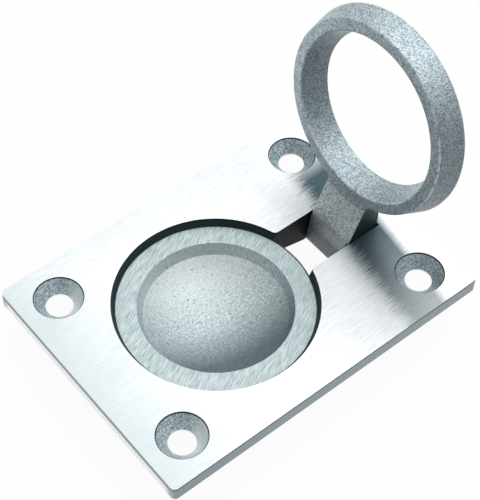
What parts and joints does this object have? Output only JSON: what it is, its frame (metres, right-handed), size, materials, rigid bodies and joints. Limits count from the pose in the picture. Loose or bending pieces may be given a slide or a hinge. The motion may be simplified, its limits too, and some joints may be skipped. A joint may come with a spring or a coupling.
{
  "type": "recessed pull handle",
  "caption": "Flush pull: a screwed plate with a dished finger cup and a finger ring on a stem that folds down into the recess about a hinge pin.",
  "frame": {"origin": "middle of the four screw holes on the plate's back face, the face that lies on the door", "axes": "+Z out of the door, +X along the plate from the finger cup towards the hinge, +Y across the plate"},
  "size_m": [0.0694, 0.0508, 0.0551],
  "materials": {
    "body": "satin, brushed along the plate on the faced top, as cast behind",
    "ring": "blasted casting, coarse grain",
    "hinge_pin": "drawn wire"
  },
  "bodies": {
    "plate": {"body": "body", "hinge_pin": "hinge_pin"},
    "pull": {"ring": "ring"}
  },
  "joints": [
    {"name": "ring_hinge", "type": "hinge", "parent": "plate", "child": "pull", "pos_m": [0.0223, 0, 0.0017], "axis": [0, -1, 0], "range_deg": [0, 98]}
  ]
}
